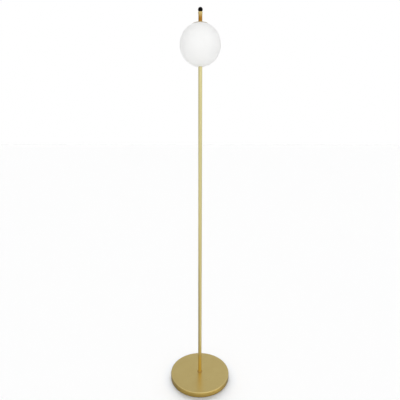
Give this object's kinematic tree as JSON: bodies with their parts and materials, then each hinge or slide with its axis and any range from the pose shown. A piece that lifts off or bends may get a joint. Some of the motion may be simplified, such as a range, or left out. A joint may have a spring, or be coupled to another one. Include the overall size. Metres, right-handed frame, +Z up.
{
  "type": "globe floor lamp",
  "caption": "Slim floor lamp: round weighted base, straight brass pole, white opal glass globe clamped on its end, shallow cap, short stem and black ball.",
  "frame": {"origin": "on the floor under the pole, at the centre of the base", "axes": "+Z up along the pole; +Y to the rear, where the cord inlet is; +X to the right seen from the front"},
  "size_m": [0.254, 0.2552, 1.4991],
  "materials": {
    "satin_brass": "satin brushed brass, lacquered",
    "cast_iron": "dark cast surface, sealed",
    "zinc_steel": "zinc plated",
    "black_rubber": "matt",
    "white_silicone": "translucent white, satin",
    "opal_glass": "white opal, satin",
    "white_ceramic": "unglazed steatite",
    "block_plastic": "moulded",
    "frosted_bulb": "frosted",
    "lamp_board": "white board with yellow light chips",
    "black_gloss": "polished black"
  },
  "bodies": {
    "lamp": {"base_cover": "satin_brass", "foot_collar": "satin_brass", "lower_tube": "satin_brass", "middle_tube": "satin_brass", "upper_tube": "satin_brass", "base_weight": "cast_iron", "bottom_plate": "zinc_steel", "bottom_screws": "zinc_steel", "base_nipple": "zinc_steel", "base_washer": "zinc_steel", "base_nut": "zinc_steel", "tube_bushings": "zinc_steel", "joint_nipples": "zinc_steel", "top_nipple": "zinc_steel", "globe_washer": "zinc_steel", "globe_nut": "zinc_steel", "plate_nut": "zinc_steel", "harp_plate": "zinc_steel", "harp": "zinc_steel", "harp_nuts": "zinc_steel", "harp_stud": "zinc_steel", "holder_bridge": "zinc_steel", "bridge_rivets": "zinc_steel", "holder_screws": "zinc_steel", "terminal_screws": "zinc_steel", "base_pad": "black_rubber", "cord_grommet": "black_rubber", "tube_gasket": "white_silicone", "globe_bush": "white_silicone", "lead_wires": "white_silicone", "glass_globe": "opal_glass", "lamp_holder": "white_ceramic", "terminal_block": "block_plastic"},
    "cap": {"globe_cap": "satin_brass", "cap_gasket": "white_silicone"},
    "finial_seat": {"stem_washer": "white_silicone"},
    "finial": {"top_stem": "satin_brass", "ball_stud": "zinc_steel", "finial_ball": "black_gloss"},
    "bulb": {"bulb_envelope": "frosted_bulb", "bulb_core": "lamp_board", "bulb_foot": "white_ceramic", "bulb_pins": "zinc_steel"}
  },
  "joints": [
    {"name": "cap_lift", "type": "slide", "parent": "lamp", "child": "cap", "axis": [0, 0, 1], "range_m": [0, 0.06]},
    {"name": "finial_rise", "type": "slide", "parent": "cap", "child": "finial_seat", "axis": [0, 0, 1], "range_m": [0, 0.012]},
    {"name": "finial_turn", "type": "hinge", "parent": "finial_seat", "child": "finial", "pos_m": [0, 0, 1.46], "axis": [0, 0, 1], "range_deg": [0, 4320]},
    {"name": "bulb_pull", "type": "slide", "parent": "lamp", "child": "bulb", "axis": [0, 0, 1], "range_m": [0, 0.03]}
  ],
  "couplings": [
    {"joint": "finial_rise", "follows": "finial_turn", "m_per_rad": 0.00015915}
  ]
}
